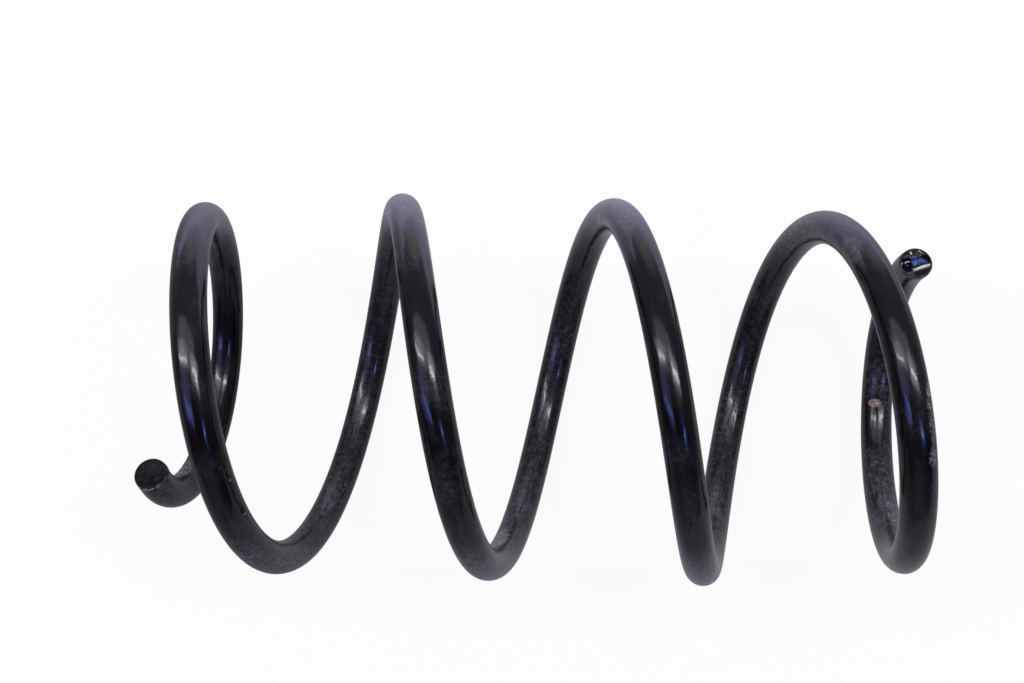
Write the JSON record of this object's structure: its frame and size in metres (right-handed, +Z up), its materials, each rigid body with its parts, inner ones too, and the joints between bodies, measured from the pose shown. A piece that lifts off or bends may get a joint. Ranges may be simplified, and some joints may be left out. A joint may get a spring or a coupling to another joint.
{
  "type": "helical spring",
  "caption": "Open-wound helical compression spring of thick round wire, black enamelled, with a tapered pigtail and a square-cut tip at each end, lying on its side.",
  "frame": {"origin": "on the coil's axis, midway between the two cut ends of the wire", "axes": "+X along the coil's axis towards the end with the wider tip; +Z up as the spring lies on its side; +Y across it"},
  "size_m": [0.3088, 0.151, 0.1509],
  "materials": {
    "black_enamel": "black gloss enamel on steel, dusty and lightly scuffed"
  },
  "bodies": {
    "root": {"coil_spring": "black_enamel"}
  },
  "joints": []
}
